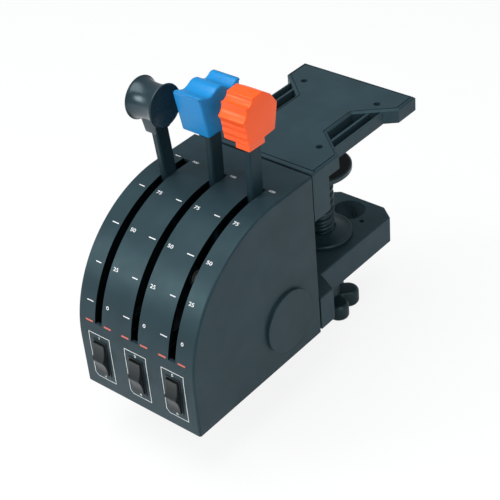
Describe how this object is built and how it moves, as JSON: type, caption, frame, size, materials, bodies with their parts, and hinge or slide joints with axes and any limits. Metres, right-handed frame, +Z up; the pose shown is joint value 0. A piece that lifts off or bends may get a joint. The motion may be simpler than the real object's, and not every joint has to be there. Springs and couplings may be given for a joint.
{
  "type": "throttle quadrant",
  "caption": "Desk-clamped throttle quadrant: curved housing with slotted levers, pull-off knobs and rocker switches, on a screw clamp bracket.",
  "frame": {"origin": "desk contact face under the upper arm, on the clamp screw's axis", "axes": "+X to the user's right, +Y away from the user, +Z up"},
  "size_m": [0.1126, 0.2722, 0.264],
  "materials": {
    "housing_black": "fine satin texture",
    "lever_black": "satin moulded",
    "spool_black": "satin with a glossy dark blue end",
    "knob_blue": "satin moulded",
    "knob_orange": "satin moulded",
    "rocker_black": "gloss",
    "switch_case": "satin",
    "bracket_black": "fine satin texture",
    "inner_frame": "moulded",
    "gear_white": "moulded acetal",
    "shaft_steel": "ground",
    "screw_steel": "blackened",
    "clamp_plastic": "satin moulded",
    "felt": "felt",
    "rubber_black": "matt",
    "board_green": "solder resist",
    "sensor_case": "stamped"
  },
  "bodies": {
    "quadrant": {"main_shell": "housing_black", "rear_cover": "housing_black", "base_plate": "housing_black", "chassis": "inner_frame", "circuit_board": "board_green", "board_parts": "switch_case", "cable_gland": "rubber_black", "lever_shaft": "shaft_steel", "friction_rings": "felt", "shaft_spacers": "gear_white", "end_switches": "switch_case", "rear_cover_screws": "screw_steel", "base_screws": "screw_steel", "board_screws": "shaft_steel", "sensor_1": "sensor_case", "sensor_2": "sensor_case", "sensor_3": "sensor_case", "rocker_housing_1": "switch_case", "rocker_housing_2": "switch_case", "rocker_housing_3": "switch_case", "upper_arm": "bracket_black", "desk_pad": "rubber_black", "spine": "bracket_black", "lower_arm": "bracket_black", "bracket_screws": "screw_steel", "spine_screws": "screw_steel", "clamp_nut": "clamp_plastic", "nut_screws": "screw_steel"},
    "pad": {"clamp_pad": "clamp_plastic", "pad_face": "rubber_black"},
    "screw": {"clamp_screw": "clamp_plastic", "star_knob": "clamp_plastic"},
    "lever_1": {"lever_arm_1": "lever_black"},
    "knob_1": {"spool_knob": "spool_black"},
    "sensor_shaft_1": {"pinion_1": "gear_white"},
    "rocker_1": {"rocker_cap_1": "rocker_black"},
    "lever_2": {"lever_arm_2": "lever_black"},
    "knob_2": {"block_knob": "knob_blue"},
    "sensor_shaft_2": {"pinion_2": "gear_white"},
    "rocker_2": {"rocker_cap_2": "rocker_black"},
    "lever_3": {"lever_arm_3": "lever_black"},
    "knob_3": {"scallop_knob": "knob_orange"},
    "sensor_shaft_3": {"pinion_3": "gear_white"},
    "rocker_3": {"rocker_cap_3": "rocker_black"}
  },
  "joints": [
    {"name": "lever_1_swing", "type": "hinge", "parent": "quadrant", "child": "lever_1", "pos_m": [-0.0345, -0.1135, -0.0827], "axis": [1, 0, 0], "range_deg": [-6.8, 70.4]},
    {"name": "knob_1_pull", "type": "slide", "parent": "lever_1", "child": "knob_1", "axis": [0, -0.0872, 0.9962], "range_m": [0, 0.03]},
    {"name": "sensor_shaft_1_turn", "type": "hinge", "parent": "quadrant", "child": "sensor_shaft_1", "pos_m": [-0.0345, -0.08899, -0.10327], "axis": [1, 0, 0], "range_deg": [-212.2, 21.4]},
    {"name": "rocker_1_tilt", "type": "hinge", "parent": "quadrant", "child": "rocker_1", "pos_m": [-0.0345, -0.206, -0.0945], "axis": [1, 0, 0], "range_deg": [-8, 8], "stiffness_Nm_per_rad": 0.03},
    {"name": "lever_2_swing", "type": "hinge", "parent": "quadrant", "child": "lever_2", "pos_m": [0, -0.1135, -0.0827], "axis": [1, 0, 0], "range_deg": [0, 77.2]},
    {"name": "knob_2_pull", "type": "slide", "parent": "lever_2", "child": "knob_2", "axis": [0, 0.0314, 0.9995], "range_m": [0, 0.03]},
    {"name": "sensor_shaft_2_turn", "type": "hinge", "parent": "quadrant", "child": "sensor_shaft_2", "pos_m": [0, -0.08899, -0.10327], "axis": [1, 0, 0], "range_deg": [-232.6, 1]},
    {"name": "rocker_2_tilt", "type": "hinge", "parent": "quadrant", "child": "rocker_2", "pos_m": [0, -0.206, -0.0945], "axis": [1, 0, 0], "range_deg": [-8, 8], "stiffness_Nm_per_rad": 0.03},
    {"name": "lever_3_swing", "type": "hinge", "parent": "quadrant", "child": "lever_3", "pos_m": [0.0345, -0.1135, -0.0827], "axis": [1, 0, 0], "range_deg": [0, 77.2]},
    {"name": "knob_3_pull", "type": "slide", "parent": "lever_3", "child": "knob_3", "axis": [0, 0.0314, 0.9995], "range_m": [0, 0.03]},
    {"name": "sensor_shaft_3_turn", "type": "hinge", "parent": "quadrant", "child": "sensor_shaft_3", "pos_m": [0.0345, -0.08899, -0.10327], "axis": [1, 0, 0], "range_deg": [-232.6, 1]},
    {"name": "rocker_3_tilt", "type": "hinge", "parent": "quadrant", "child": "rocker_3", "pos_m": [0.0345, -0.206, -0.0945], "axis": [1, 0, 0], "range_deg": [-8, 8], "stiffness_Nm_per_rad": 0.03},
    {"name": "clamp_travel", "type": "slide", "parent": "quadrant", "child": "pad", "axis": [0, 0, 1], "range_m": [-0.042, 0.02]},
    {"name": "screw_turn", "type": "hinge", "parent": "pad", "child": "screw", "pos_m": [0, 0, -0.1235], "axis": [0, 0, 1], "range_deg": [-2363.5, 1126]}
  ],
  "couplings": [
    {"joint": "sensor_shaft_1_turn", "follows": "lever_1_swing", "ratio": -3},
    {"joint": "sensor_shaft_2_turn", "follows": "lever_2_swing", "ratio": -3},
    {"joint": "sensor_shaft_3_turn", "follows": "lever_3_swing", "ratio": -3},
    {"joint": "screw_turn", "follows": "clamp_travel", "rad_per_m": 981.75}
  ]
}
